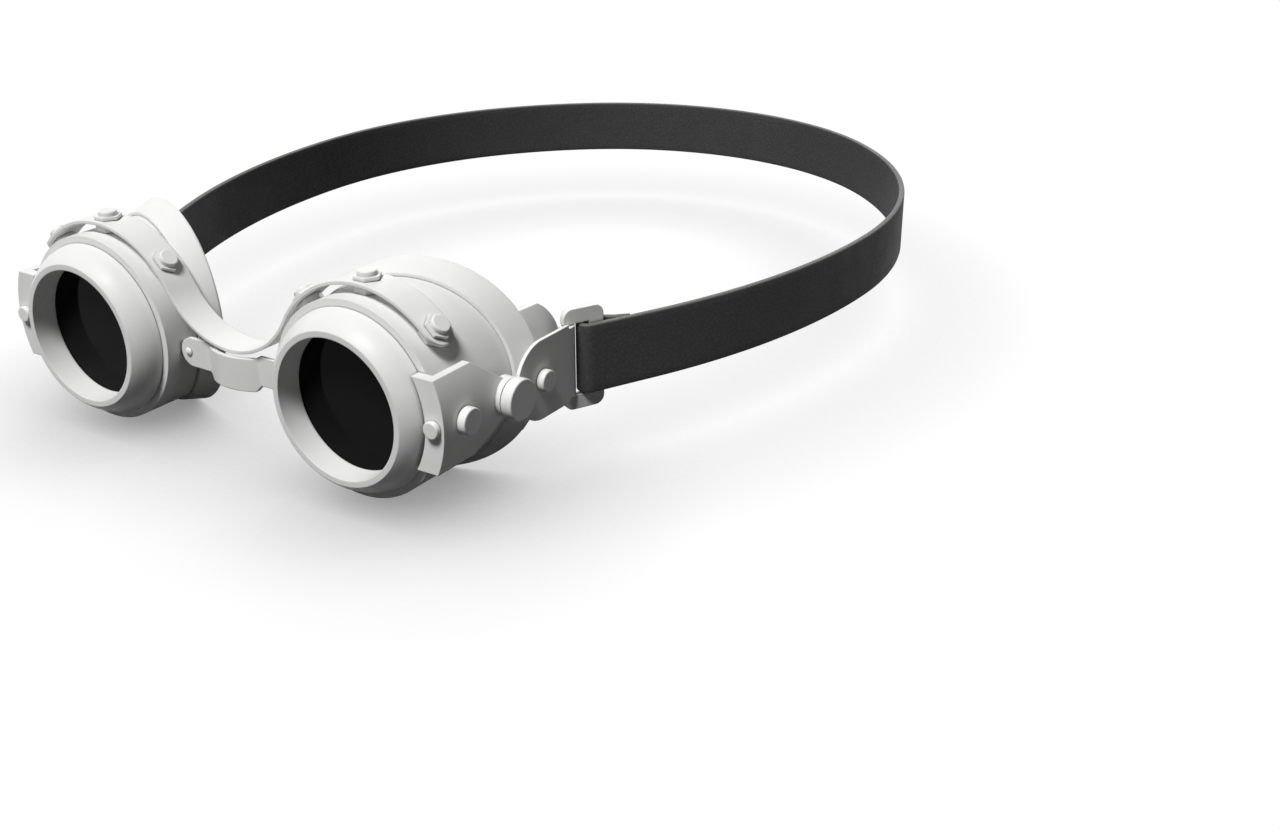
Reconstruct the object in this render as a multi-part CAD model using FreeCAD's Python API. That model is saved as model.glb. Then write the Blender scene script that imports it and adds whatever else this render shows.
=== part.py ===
import FreeCAD, Part
import math
import os

# Goggles with two round metal eyecups, a brow strip, a nose bridge and a head strap.
# Millimetres. X runs across the face (+X is the wearer's left), Y runs from front to back, Z is up.
# The origin lies midway between the two bezel front faces, on the line that joins the eyecup axes.

V = FreeCAD.Vector

# Eyecups
EYE_X = 36.0              # half the spacing of the eyecup axes
BARREL_R = 20.4           # outer radius of the straight barrel
BARREL_WALL = 2.4
BARREL_FRONT_Y = 5.8      # front face of the barrel
SEAT_W = 2.8              # radial width of the lens seat
SEAT_Y = 9.6              # front of the lens seat
SEAT_T = 1.6              # thickness of the lens seat
EDGE = 0.3                # small rounding on metal edges

# Screwed bezel, lens and gasket
BEZEL_FACE_W = 1.25       # width of the flat front face
BEZEL_DOME = 3.05         # radial width of the rounded flank
BEZEL_SHOULDER = 0.55     # from the widest radius, part of the way down the flank
BEZEL_SHOULDER_Y = 3.5
BEZEL_STEP = 1.55         # from the barrel in to the bezel, radially
BEZEL_BACK_GAP = 0.1      # between the bezel flange and the barrel face
THREAD_CLEAR = 0.1        # radial clearance of the bezel thread
SPIGOT_WALL = 1.4
SPIGOT_END_GAP = 0.3      # between the end of the spigot and the lens seat
LENS_T = 2.2
LENS_GAP = 0.1            # between the lens and the bezel lip
LENS_CLEAR = 0.2          # radial, lens in the spigot
GASKET_W = 1.4
GASKET_GAP = 0.05

# Rear cup: a skewed, flared ring behind the barrel, turned in towards the face
TILT = 20.0               # degrees that the rim plane turns about Z
STEP_Y = 21.5             # where the step plane meets the eyecup axis
STEP_OUT = 0.8            # radial wall of the step round the barrel, square to the eyecup axis
RIM_SHIFT = 0.2           # of the rim's centre, from the eyecup axis towards the nose
RIM_Y = 28.0
RIM_FLARE = 1.95          # how much more the half height of the rim is than the radius of the step
RIM_OVAL = 0.85           # how much more its half width is, measured in its own plane
RIM_WALL = 1.45
RIM_ROUND = 0.6
ROUND_STEPS = 4           # flats in that rounding
PANE_RECESS = 2.35        # from the rim to the back of the inner pane
PANE_T = 1.3
PANE_CLEAR = 0.08
WEB_T = 0.8               # web between the pane and the end of the barrel
WEB_INSET = 3.6
FIT = 0.03                # slip fit of fixed pieces

# Ear: tongue of the rear cup that runs back along the temple
EAR_R = 22.9              # radius that the tongue is curved to
EAR_INSET = 0.25          # of its outer face, from the edge of the rim
EAR_WALL = 1.2
EAR_ROOT = 0.5            # how far the ear is let into the rim
EAR_BASE_HALF = 13.1      # half height at the rim
EAR_SHOULDER_S = 9.0      # where its rounded end begins, behind the rim
EAR_SHOULDER_HALF = 11.2
EAR_LENGTH = 15.6

# Brow strip, spacers and bolts
STRIP_STAND = 2.65        # from the barrel to the top face of the strip
STRIP_T = 0.7
STRIP_W = 7.3
STRIP_Y = 11.9            # middle of the strip
VALLEY_TOP = 2.0          # height of the strip's top face at the nose
BOLT_ANGLES = (45.0, 90.0, 135.0)
SPACER_AF = 4.8           # across flats
BOLT_AF = 5.0
BOLT_HEX_H = 0.7
BOLT_CAP_R = 1.95
BOLT_CAP_H = 1.0
BOLT_SHANK_R = 1.0
BOLT_DEPTH = 1.4          # how far the bolt enters the barrel wall

# Nose bridge: a bowed band with a rounded tab at each end
BRIDGE_Y = 7.25           # front face at the middle
BRIDGE_T = 0.9
BRIDGE_TOP = 0.85
BRIDGE_BOTTOM = -6.35
BRIDGE_R = 12.5           # radius of the bow, at the front face
BRIDGE_TAB = 5.6          # straight length of the tab, from the bow
BRIDGE_CREASE_R = 1.2     # at the front face, between the bow and the tab
BRIDGE_CORNER = 1.2       # slope where the band narrows to the tab
TAB_R = 3.2               # half height of the tab, and the radius of its end
TAB_END_GAP = 0.2         # between the end of the tab and the barrel
TAB_Z = -1.7
BRIDGE_RIVET_OUT = 1.0    # from the centre of the tab's round end
BRIDGE_RIVET_R = 1.0
BRIDGE_RIVET_H = 0.5
BRIDGE_SHANK_R = 0.6
BRIDGE_SHANK_LENGTH = 2.8
NOSE_LUG_IN = 1.4         # reach of the lug of the barrel behind the tab, past its round end
NOSE_LUG_UP = 1.0         # height of that lug above the rivet, and below it
NOSE_LUG_DOWN = 2.8
NOSE_LUG_T = 2.4

# Side bracket and its rivets
LUG_HALF = 6.0            # raised lug of the barrel under the bracket
LUG_BACK_Y = 16.0
BRACKET_STAND = 3.2       # from the barrel to the outer face of the bracket
BRACKET_T = 1.6
BRACKET_HALF = 9.6        # half height
BRACKET_FRONT_Y = 3.5
BRACKET_LEG_GAP = 0.25    # between the front leg and the bezel
BRACKET_SHOULDER_Y = 14.5
TAIL_R = 2.8              # rounded end of the tail, about the thumb screw
SEATED = 0.05             # gap between faces that rest on each other
FRONT_RIVET_R = 1.75
FRONT_RIVET_H = 1.15
FRONT_RIVET_SHANK_R = 0.8
FRONT_RIVET_LENGTH = 4.4
SIDE_RIVET_Y = 9.9
SIDE_RIVET_R = 2.75
SIDE_RIVET_H = 1.8
SIDE_RIVET_SHANK_R = 1.5
SIDE_RIVET_LENGTH = 3.4

# Thumb screw
THUMB_Y = 23.0
THUMB_R = 4.25
THUMB_T = 2.6
THUMB_BACK_ROUND = 0.4
THUMB_PAD_R = 4.0         # pad of the bracket behind the head
PAD_CLEAR = 0.35          # between that pad and the round end of the strap plate
THUMB_SHANK_R = 1.1
THUMB_SHANK_IN = 1.0      # how far the shank enters the barrel wall
TURN_CLEAR = 0.05         # radial clearance of a turning shank
SIDE_CLEAR = 0.15         # beside a turning piece

# Strap plate, its pivot stud and the flat ring
PLATE_GAP = 0.3           # between the plate and the bracket
PLATE_RIM_GAP = 1.5       # least gap between the plate and the rim of the rear cup
PLATE_T = 0.8
PLATE_HALF = 8.4          # half height, and the radius of its round end
PLATE_END_GAP = 0.7       # between the round end of the plate and the thumb screw
PIVOT_BOSS_R = 2.8
PIVOT_HEAD_R = 2.3
PIVOT_HEAD_H = 1.6
PIVOT_SHANK_R = 1.2
PIVOT_DEPTH = 1.25        # of the pivot hole, inside the edge of the rim
ROLL_HALF = 7.6           # half height of the rolled end
ROLL_RUN = 11.0           # from the pivot to the axis of the rolled end
RING_BAR_R = 0.8          # round bar of the ring inside the roll
RING_T = 1.5
RING_HALF = 11.0
RING_FRONT = 1.1          # from the round bar to the front edge
RING_BAR_GAP = 6.5        # from the round bar to the middle of the flat bar
RING_BAR_W = 3.4
RING_SLOT_HALF = 7.9
RING_CORNER = 2.0

# Strap
STRAP_T = 1.5
STRAP_HALF = 7.5          # half width
STRAP_EYE_CLEAR = 0.2     # between the strap and the flat bar
STRAP_LEAD = 13.0         # straight part, from the flat bar
STRAP_TAIL = 8.0          # pared end of the folded tail, from the flat bar
STRAP_MERGE = 4.0         # length over which the tail closes on the strap
STRAP_WIDE_X = 85.3       # widest half width of the loop, on its middle line
STRAP_WIDE_Y = 132.0      # where it is widest
STRAP_BACK_RUN = 19.0     # from there to the centre of the arc at the back of the head
STRAP_BACK_INSET = 9.3    # how much smaller the radius of that arc is than the widest half width

# Derived places
COS_TILT = math.cos(math.radians(TILT))
SIN_TILT = math.sin(math.radians(TILT))
BARREL_BORE_R = BARREL_R - BARREL_WALL   # behind the lens seat, and the core of the bezel thread
SEAT_R = BARREL_BORE_R - SEAT_W
BEZEL_R = BARREL_R - BEZEL_STEP
BEZEL_SHOULDER_R = BEZEL_R - BEZEL_SHOULDER
BEZEL_FACE_R = BEZEL_R - BEZEL_DOME
BEZEL_BORE_R = BEZEL_FACE_R - BEZEL_FACE_W
STEP_R = BARREL_R + STEP_OUT
RIM_X = EYE_X - RIM_SHIFT
RIM_R = STEP_R + RIM_FLARE
RIM_ACROSS = RIM_R + RIM_OVAL
RIM_EDGE_X = RIM_X + RIM_ACROSS * COS_TILT
STRIP_R = BARREL_R + STRIP_STAND
TAB_X = EYE_X - BARREL_R - TAB_END_GAP - TAB_R
BRIDGE_BOW = TAB_X - BRIDGE_TAB
BRIDGE_RIVET_X = TAB_X + BRIDGE_RIVET_OUT
NOSE_LUG_X = TAB_X - NOSE_LUG_IN
NOSE_LUG_TOP = TAB_Z + NOSE_LUG_UP
NOSE_LUG_BOTTOM = TAB_Z - NOSE_LUG_DOWN
BRACKET_R = BARREL_R + BRACKET_STAND
BRACKET_LEG_R = BEZEL_R + BRACKET_LEG_GAP
AXIS_IN = V(-SIN_TILT, COS_TILT, 0)      # out of the rim, towards the face
AXIS_OUT = V(COS_TILT, SIN_TILT, 0)      # across the rim, towards the temple
RIM_CENTRE = V(RIM_X, RIM_Y, 0)
STEP_S = (V(EYE_X, STEP_Y, 0) - RIM_CENTRE).dot(AXIS_IN)
STEP_U = (V(EYE_X, STEP_Y, 0) - RIM_CENTRE).dot(AXIS_OUT)
PANE_BACK_S = -PANE_RECESS
WEB_BACK_S = PANE_BACK_S - PANE_T - SEATED
SOCKET_S = WEB_BACK_S - WEB_T
BRACKET_X = EYE_X + BRACKET_R
LUG_R = BRACKET_R - BRACKET_T - SEATED
PLATE_X = max(BRACKET_X + PLATE_GAP, RIM_EDGE_X + PLATE_RIM_GAP)  # inner face of the plate
PLATE_OUT_X = PLATE_X + PLATE_T
PIVOT_Y = THUMB_Y + THUMB_SHANK_R + PLATE_END_GAP + PLATE_HALF
PIVOT_ROOT_X = RIM_EDGE_X - PIVOT_DEPTH
ROLL_Y = PIVOT_Y + ROLL_RUN
STRAP_BACK_R = STRAP_WIDE_X - STRAP_BACK_INSET
STRAP_BACK_Y = STRAP_WIDE_Y + STRAP_BACK_RUN + STRAP_BACK_R
ROLL_IN_R = RING_BAR_R + TURN_CLEAR
ROLL_R = ROLL_IN_R + PLATE_T
ROLL_X = PLATE_OUT_X - ROLL_R
EYE_HALF = RING_T / 2 + STRAP_EYE_CLEAR  # half width of the strap's eye
FAR = 60.0                               # longer than any cut needs


# Shared shapes
def rod(radius, start, end):
    """A round bar between two points."""
    return Part.makeCylinder(radius, (end - start).Length, start, end - start)


def tube(outer, inner, start, end):
    """A round tube between two points."""
    return rod(outer, start, end).cut(rod(inner, start, end))


def prism(points, direction):
    """A flat polygon pushed along a direction."""
    return Part.Face(Part.makePolygon(points + points[:1])).extrude(direction)


def turned(profile, x):
    """A closed profile of edges, given as radius and Y, turned about an eyecup axis."""
    face = Part.Face(Part.Wire(profile))
    solid = face.revolve(V(0, 0, 0), V(0, 1, 0), 360)
    solid.translate(V(x, 0, 0))
    return solid


def lines(points):
    """The edges of an open row of points."""
    return [Part.makeLine(a, b) for a, b in zip(points, points[1:])]


def arc(start, middle, end):
    """An arc edge through three points."""
    return Part.Arc(start, middle, end).toShape()


def eye(radius, y0, y1):
    """A cylinder about the eyecup axis."""
    return rod(radius, V(EYE_X, y0, 0), V(EYE_X, y1, 0))


def eye_shell(outer, inner, y0, y1):
    """A tube about the eyecup axis."""
    return eye(outer, y0, y1).cut(eye(inner, y0, y1))


def radial(angle, height):
    """A point on a bolt's axis, at a distance from the eyecup axis."""
    a = math.radians(angle)
    return V(EYE_X + height * math.cos(a), STRIP_Y, height * math.sin(a))


def hexagon(across_flats, angle, low, high):
    """A hexagonal prism that stands on the eyecup like a bolt, with a flat to the front."""
    a = math.radians(angle)
    out = V(math.cos(a), 0, math.sin(a))
    side = V(-math.sin(a), 0, math.cos(a))
    corner = across_flats / math.sqrt(3)
    points = []
    for k in range(6):
        turn = math.radians(60 * k + 30)
        points.append(radial(angle, low) + V(0, corner * math.cos(turn), 0)
                      + side * (corner * math.sin(turn)))
    return prism(points, out * (high - low))


def cup_section(s, inset):
    """The outline of the rear cup, inset by a wall, on the plane at depth s from the rim."""
    share = s / STEP_S
    centre = RIM_CENTRE + AXIS_IN * s + AXIS_OUT * (STEP_U * share)
    across = RIM_ACROSS + (STEP_R / COS_TILT - RIM_ACROSS) * share - inset
    height = RIM_R + (STEP_R - RIM_R) * share - inset
    axes = sorted([(across, AXIS_OUT), (height, V(0, 0, 1))], key=lambda axis: axis[0])
    (small, across_small), (large, across_large) = axes
    outline = Part.Ellipse(centre + across_large * large, centre + across_small * small, centre)
    return Part.Wire(outline.toShape())


def cup_solid(s0, s1, inset):
    """A skewed solid between two planes of the rear cup."""
    return Part.makeLoft([cup_section(s0, inset), cup_section(s1, inset)], True, True)


def cup_mouth(s0, inset, inward):
    """A skewed solid of the rear cup up to the rim, with the edge of the rim rounded inwards or outwards."""
    sections = [cup_section(s0, inset)]
    for k in range(ROUND_STEPS + 1):
        turn = math.radians(90 * k / ROUND_STEPS)
        depth = RIM_ROUND * (math.sin(turn) - 1)
        sections.append(cup_section(depth, inset + inward * RIM_ROUND * (1 - math.cos(turn))))
    return Part.makeLoft(sections, True, True)


def behind(s):
    """Everything behind the plane at depth s from the rim, as a large block."""
    block = Part.makeBox(4 * FAR, 2 * FAR, 4 * FAR, V(-2 * FAR, 0, -2 * FAR))
    block.rotate(V(0, 0, 0), V(0, 0, 1), TILT)
    block.translate(RIM_CENTRE + AXIS_IN * s)
    return block


def across_x(radius, y, x0, x1):
    """A round bar along X at height zero."""
    return rod(radius, V(x0, y, 0), V(x1, y, 0))


def rounded(solid, radius, test):
    """Rounds the edges that pass the test."""
    edges = [e for e in solid.Edges if test(e)]
    return solid.makeFillet(radius, edges)


# Eyecup pieces
def barrel():
    back = SEAT_Y + SEAT_T
    end = STEP_Y + EYE_X
    profile = lines([V(BARREL_BORE_R, BARREL_FRONT_Y, 0), V(BARREL_R, BARREL_FRONT_Y, 0),
                     V(BARREL_R, end, 0), V(BARREL_BORE_R, end, 0), V(BARREL_BORE_R, back, 0),
                     V(SEAT_R, back, 0), V(SEAT_R, SEAT_Y, 0), V(BARREL_BORE_R, SEAT_Y, 0),
                     V(BARREL_BORE_R, BARREL_FRONT_Y, 0)])
    body = turned(profile, EYE_X).cut(behind(SOCKET_S - SEATED))
    lug = eye_shell(LUG_R, BARREL_BORE_R + SEATED, BARREL_FRONT_Y, LUG_BACK_Y)
    lug = lug.common(Part.makeBox(FAR, FAR, 2 * LUG_HALF, V(EYE_X, 0, -LUG_HALF)))
    body = body.fuse(lug).fuse(nose_lug().cut(eye(BARREL_BORE_R + SEATED, 0, FAR))).removeSplitter()
    for angle in BOLT_ANGLES:
        body = body.cut(rod(BOLT_SHANK_R + FIT, radial(angle, BARREL_R - BOLT_DEPTH - SEATED),
                            radial(angle, BARREL_R + STRIP_T)))
    body = body.cut(across_x(THUMB_SHANK_R + TURN_CLEAR, THUMB_Y, EYE_X + BARREL_BORE_R - 1, BRACKET_X))
    body = body.cut(side_rivet_shank(FIT))
    body = body.cut(front_rivet_shank(FIT))
    return body.cut(bridge_shank(FIT))


def bezel():
    back = BARREL_FRONT_Y - BEZEL_BACK_GAP
    lip = BARREL_FRONT_Y + LENS_GAP
    spigot = BARREL_BORE_R - THREAD_CLEAR
    end = SEAT_Y - SPIGOT_END_GAP
    face_in = V(BEZEL_BORE_R, 0, 0)
    face_out = V(BEZEL_FACE_R, 0, 0)
    flank = V(BEZEL_R, back, 0)
    profile = [Part.makeLine(face_in, face_out),
               arc(face_out, V(BEZEL_SHOULDER_R, BEZEL_SHOULDER_Y, 0), flank)]
    profile += lines([flank, V(spigot, back, 0), V(spigot, end, 0), V(spigot - SPIGOT_WALL, end, 0),
                      V(spigot - SPIGOT_WALL, lip, 0), V(BEZEL_BORE_R, lip, 0), face_in])
    return turned(profile, EYE_X)


def lens_radius():
    return BARREL_BORE_R - THREAD_CLEAR - SPIGOT_WALL - LENS_CLEAR


def lens_front():
    return BARREL_FRONT_Y + 2 * LENS_GAP


def lens():
    return eye(lens_radius(), lens_front(), lens_front() + LENS_T)


def lens_gasket():
    front = lens_front() + LENS_T + GASKET_GAP
    return eye_shell(lens_radius(), lens_radius() - GASKET_W, front, SEAT_Y - GASKET_GAP)


def ear():
    """The tongue that runs back from the temple side of the rim."""
    centre = RIM_CENTRE + AXIS_OUT * (RIM_ACROSS - EAR_INSET - EAR_R)
    shell = tube(EAR_R, EAR_R - EAR_WALL, centre - AXIS_IN * EAR_ROOT, centre + AXIS_IN * (EAR_LENGTH + 1))

    def at(s, z):
        return centre + AXIS_IN * s + V(0, 0, z)

    root = -EAR_ROOT - 1
    base_low = at(root, -EAR_BASE_HALF)
    base_high = at(root, EAR_BASE_HALF)
    low = at(EAR_SHOULDER_S, -EAR_SHOULDER_HALF)
    high = at(EAR_SHOULDER_S, EAR_SHOULDER_HALF)
    outline = lines([high, base_high, base_low, low]) + [arc(low, at(EAR_LENGTH, 0), high)]
    return shell.common(Part.Face(Part.Wire(outline)).extrude(AXIS_OUT * FAR))


def rear_cup():
    cup = cup_mouth(STEP_S, 0, 1).cut(cup_mouth(WEB_BACK_S, RIM_WALL, -1))
    cup = cup.cut(cup_solid(STEP_S - 1, WEB_BACK_S + 0.1, WEB_INSET))
    socket = eye(BARREL_R + FIT, 0, FAR).cut(behind(SOCKET_S))
    boss = across_x(PIVOT_BOSS_R, PIVOT_Y, PIVOT_ROOT_X - 0.2, PLATE_X - SIDE_CLEAR)
    cup = cup.fuse(boss).fuse(ear()).cut(socket)
    return cup.cut(across_x(PIVOT_SHANK_R + FIT, PIVOT_Y, PIVOT_ROOT_X, PLATE_X))


def inner_pane():
    return cup_solid(PANE_BACK_S - PANE_T, PANE_BACK_S, RIM_WALL + PANE_CLEAR)


# Brow strip and its fasteners
def hex_spacers():
    group = []
    for angle in BOLT_ANGLES:
        block = hexagon(SPACER_AF, angle, BARREL_R - 1, STRIP_R)
        block = block.common(eye_shell(STRIP_R - STRIP_T - SEATED / 2, BARREL_R + SEATED / 2, 0, FAR))
        hole = rod(BOLT_SHANK_R + FIT, radial(angle, BARREL_R - 1), radial(angle, STRIP_R))
        group.append(block.cut(hole))
    return Part.makeCompound(group)


def hex_bolts():
    group = []
    seat = STRIP_R + SEATED / 2
    for angle in BOLT_ANGLES:
        cap = rod(BOLT_CAP_R, radial(angle, seat + BOLT_HEX_H / 2),
                  radial(angle, seat + BOLT_HEX_H + BOLT_CAP_H))
        tip = radial(angle, seat + BOLT_HEX_H + BOLT_CAP_H)
        cap = rounded(cap, EDGE, lambda e: (e.CenterOfMass - tip).Length < 0.01)
        shank = rod(BOLT_SHANK_R, radial(angle, BARREL_R - BOLT_DEPTH), radial(angle, seat + 0.2))
        head = hexagon(BOLT_AF, angle, seat, seat + BOLT_HEX_H)
        group.append(head.fuse(cap).fuse(shank))
    return Part.makeCompound(group)


def brow_strip():
    front = STRIP_Y - STRIP_W / 2
    width = V(0, STRIP_W, 0)
    valley_r = (EYE_X ** 2 + VALLEY_TOP ** 2 - STRIP_R ** 2) / (2 * (STRIP_R - VALLEY_TOP))
    valley_z = VALLEY_TOP + valley_r
    slope = math.degrees(math.atan2(valley_z, EYE_X))

    def over_eye(radius, angle):
        a = math.radians(angle)
        return V(EYE_X + radius * math.cos(a), front, radius * math.sin(a))

    def in_valley(radius, angle):
        a = math.radians(angle)
        return V(radius * math.cos(a), front, valley_z + radius * math.sin(a))

    def mirrored(point):
        return V(-point.x, point.y, point.z)

    outer_end = BOLT_ANGLES[0]
    join = 180 - slope
    edges = []
    ends = []
    for radius, valley in ((STRIP_R, valley_r), (STRIP_R - STRIP_T, valley_r + STRIP_T)):
        rise = [over_eye(radius, outer_end), over_eye(radius, (outer_end + join) / 2), over_eye(radius, join)]
        edges.append(arc(*rise))
        edges.append(arc(*[mirrored(p) for p in rise]))
        dip = [rise[2], in_valley(valley, -90), mirrored(rise[2])]
        edges.append(arc(*dip))
        ends.append(rise[0])
    edges.append(Part.makeLine(ends[0], ends[1]))
    edges.append(Part.makeLine(mirrored(ends[0]), mirrored(ends[1])))
    strip = Part.Face(Part.Wire(Part.__sortEdges__(edges))).extrude(width)
    shell = eye_shell(STRIP_R, STRIP_R - STRIP_T, 0, FAR)
    tip = shell.common(rod(STRIP_W / 2, radial(outer_end, STRIP_R - 4), radial(outer_end, STRIP_R + 2)))
    strip = strip.fuse(tip).fuse(mirror(tip)).removeSplitter()
    for angle in BOLT_ANGLES:
        hole = rod(BOLT_SHANK_R + FIT, radial(angle, STRIP_R - 4), radial(angle, STRIP_R + 2))
        strip = strip.cut(hole).cut(mirror(hole))
    return strip


# Nose bridge
def tab_face():
    """Y of the front face of the tabs."""
    lean = math.asin(BRIDGE_BOW / BRIDGE_R)
    return BRIDGE_Y + (BRIDGE_R + BRIDGE_CREASE_R) * (1 - math.cos(lean))


def bridge_shank(clear):
    start = tab_face() - SEATED
    end = start + BRIDGE_SHANK_LENGTH + clear
    return rod(BRIDGE_SHANK_R + clear, V(BRIDGE_RIVET_X, start, TAB_Z), V(BRIDGE_RIVET_X, end, TAB_Z))


def bridge_rivet():
    seat = tab_face() - SEATED
    ball_r = (BRIDGE_RIVET_R ** 2 + BRIDGE_RIVET_H ** 2) / (2 * BRIDGE_RIVET_H)
    ball = Part.makeSphere(ball_r, V(BRIDGE_RIVET_X, seat - BRIDGE_RIVET_H + ball_r, TAB_Z))
    front = Part.makeBox(FAR, FAR, FAR, V(BRIDGE_RIVET_X - FAR / 2, seat - FAR, TAB_Z - FAR / 2))
    return ball.common(front).fuse(bridge_shank(0))


def nose_lug():
    """The lug of the barrel that the tab is riveted to."""
    front = tab_face() + BRIDGE_T + SEATED
    return Part.makeBox(EYE_X - BARREL_R + 1 - NOSE_LUG_X, NOSE_LUG_T,
                        NOSE_LUG_TOP - NOSE_LUG_BOTTOM, V(NOSE_LUG_X, front, NOSE_LUG_BOTTOM))


def nose_bridge():
    lean = math.asin(BRIDGE_BOW / BRIDGE_R)
    low = BRIDGE_BOTTOM - 2 * TAB_R
    end = TAB_X + TAB_R + 1
    bow_centre = V(0, BRIDGE_Y + BRIDGE_R, low)
    crease = bow_centre + V(math.sin(lean), -math.cos(lean), 0) * (BRIDGE_R + BRIDGE_CREASE_R)

    def side(offset):
        """One face of the sheet in plan, from the middle to the end of the tab."""
        bow_r = BRIDGE_R - offset
        turn_r = BRIDGE_CREASE_R + offset

        def bow(angle):
            return bow_centre + V(math.sin(angle), -math.cos(angle), 0) * bow_r

        def turn(angle):
            return crease + V(-math.sin(angle), math.cos(angle), 0) * turn_r

        tip = V(end, turn(0).y, low)
        return [arc(bow(0), bow(lean / 2), bow(lean)), arc(bow(lean), turn(lean / 2), turn(0)),
                Part.makeLine(turn(0), tip)], bow(0), tip

    front, front_middle, front_tip = side(0)
    back, back_middle, back_tip = side(BRIDGE_T)
    plan = front + back + [Part.makeLine(front_middle, back_middle), Part.makeLine(front_tip, back_tip)]
    sheet = Part.Face(Part.Wire(Part.__sortEdges__(plan))).extrude(V(0, 0, 4 * TAB_R - 2 * BRIDGE_BOTTOM))

    top = TAB_Z + TAB_R
    bottom = TAB_Z - TAB_R
    narrow = crease.x
    wide = narrow - BRIDGE_CORNER
    upper = lines([V(0, 0, BRIDGE_TOP), V(wide, 0, BRIDGE_TOP), V(narrow, 0, top), V(TAB_X, 0, top)])
    lower = lines([V(TAB_X, 0, bottom), V(narrow, 0, bottom), V(wide, 0, BRIDGE_BOTTOM),
                   V(0, 0, BRIDGE_BOTTOM), V(0, 0, BRIDGE_TOP)])
    outline = upper + [arc(V(TAB_X, 0, top), V(TAB_X + TAB_R, 0, TAB_Z), V(TAB_X, 0, bottom))] + lower
    half = sheet.common(Part.Face(Part.Wire(outline)).extrude(V(0, FAR, 0))).cut(bridge_shank(FIT))
    return half.fuse(mirror(half)).removeSplitter()


# Side bracket
def front_rivet_shank(clear):
    x = EYE_X + (BARREL_R + LUG_R) / 2
    start = BRACKET_FRONT_Y - SEATED
    return rod(FRONT_RIVET_SHANK_R + clear, V(x, start, 0), V(x, start + FRONT_RIVET_LENGTH + clear, 0))


def side_rivet_shank(clear):
    end = BRACKET_X + SEATED
    return across_x(SIDE_RIVET_SHANK_R + clear, SIDE_RIVET_Y, end - SIDE_RIVET_LENGTH - clear, end)


def side_bracket():
    inner = BRACKET_R - BRACKET_T
    leg_back = BARREL_FRONT_Y - SEATED
    run = THUMB_Y - BRACKET_SHOULDER_Y
    far = math.hypot(run, BRACKET_HALF)
    lean = math.atan2(BRACKET_HALF, run) - math.asin(TAIL_R / far)
    touch = V(EYE_X, THUMB_Y + TAIL_R * math.sin(lean), TAIL_R * math.cos(lean))
    touch_low = V(touch.x, touch.y, -touch.z)
    corner = V(EYE_X, BRACKET_SHOULDER_Y, BRACKET_HALF)
    corner_low = V(EYE_X, BRACKET_SHOULDER_Y, -BRACKET_HALF)
    front = V(EYE_X, BRACKET_FRONT_Y, BRACKET_HALF)
    front_low = V(EYE_X, BRACKET_FRONT_Y, -BRACKET_HALF)
    outline = lines([touch, corner, front, front_low, corner_low, touch_low])
    outline.append(arc(touch_low, V(EYE_X, THUMB_Y + TAIL_R, 0), touch))
    mask = Part.Face(Part.Wire(outline)).extrude(V(FAR, 0, 0))
    side = eye_shell(BRACKET_R, inner, BRACKET_FRONT_Y, THUMB_Y + TAIL_R + 1)
    leg = eye_shell(BRACKET_R, BRACKET_LEG_R, BRACKET_FRONT_Y, leg_back)
    pad = across_x(THUMB_PAD_R, THUMB_Y, EYE_X + BRACKET_R - BRACKET_T + 0.2, PLATE_OUT_X)
    pad = pad.cut(across_x(PLATE_HALF + PAD_CLEAR, PIVOT_Y, EYE_X, PLATE_OUT_X + 1))
    bracket = side.fuse(leg).common(mask).fuse(pad).removeSplitter()
    bracket = bracket.cut(front_rivet_shank(FIT)).cut(side_rivet_shank(FIT))
    return bracket.cut(across_x(THUMB_SHANK_R + TURN_CLEAR, THUMB_Y, EYE_X, PLATE_OUT_X + 1))


def bracket_front_rivet():
    x = EYE_X + (BARREL_R + LUG_R) / 2
    seat = BRACKET_FRONT_Y - SEATED
    face = seat - FRONT_RIVET_H
    head = rod(FRONT_RIVET_R, V(x, face, 0), V(x, seat, 0))
    head = rounded(head, EDGE, lambda e: abs(e.CenterOfMass.y - face) < 0.01)
    return head.fuse(front_rivet_shank(0))


def bracket_side_rivet():
    seat = BRACKET_X + SEATED
    face = seat + SIDE_RIVET_H
    head = across_x(SIDE_RIVET_R, SIDE_RIVET_Y, seat, face)
    head = rounded(head, EDGE, lambda e: abs(e.CenterOfMass.x - face) < 0.01)
    return head.fuse(side_rivet_shank(0))


# Thumb screw
def thumb_screw():
    back = PLATE_OUT_X + SIDE_CLEAR
    face = back + THUMB_T
    head = across_x(THUMB_R, THUMB_Y, back, face)
    head = rounded(head, THUMB_BACK_ROUND, lambda e: abs(e.CenterOfMass.x - back) < 0.01)
    head = rounded(head, EDGE, lambda e: abs(e.CenterOfMass.x - face) < 0.01)
    shank = across_x(THUMB_SHANK_R, THUMB_Y, EYE_X + BARREL_R - THUMB_SHANK_IN, back + 0.5)
    return head.fuse(shank)


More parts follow.
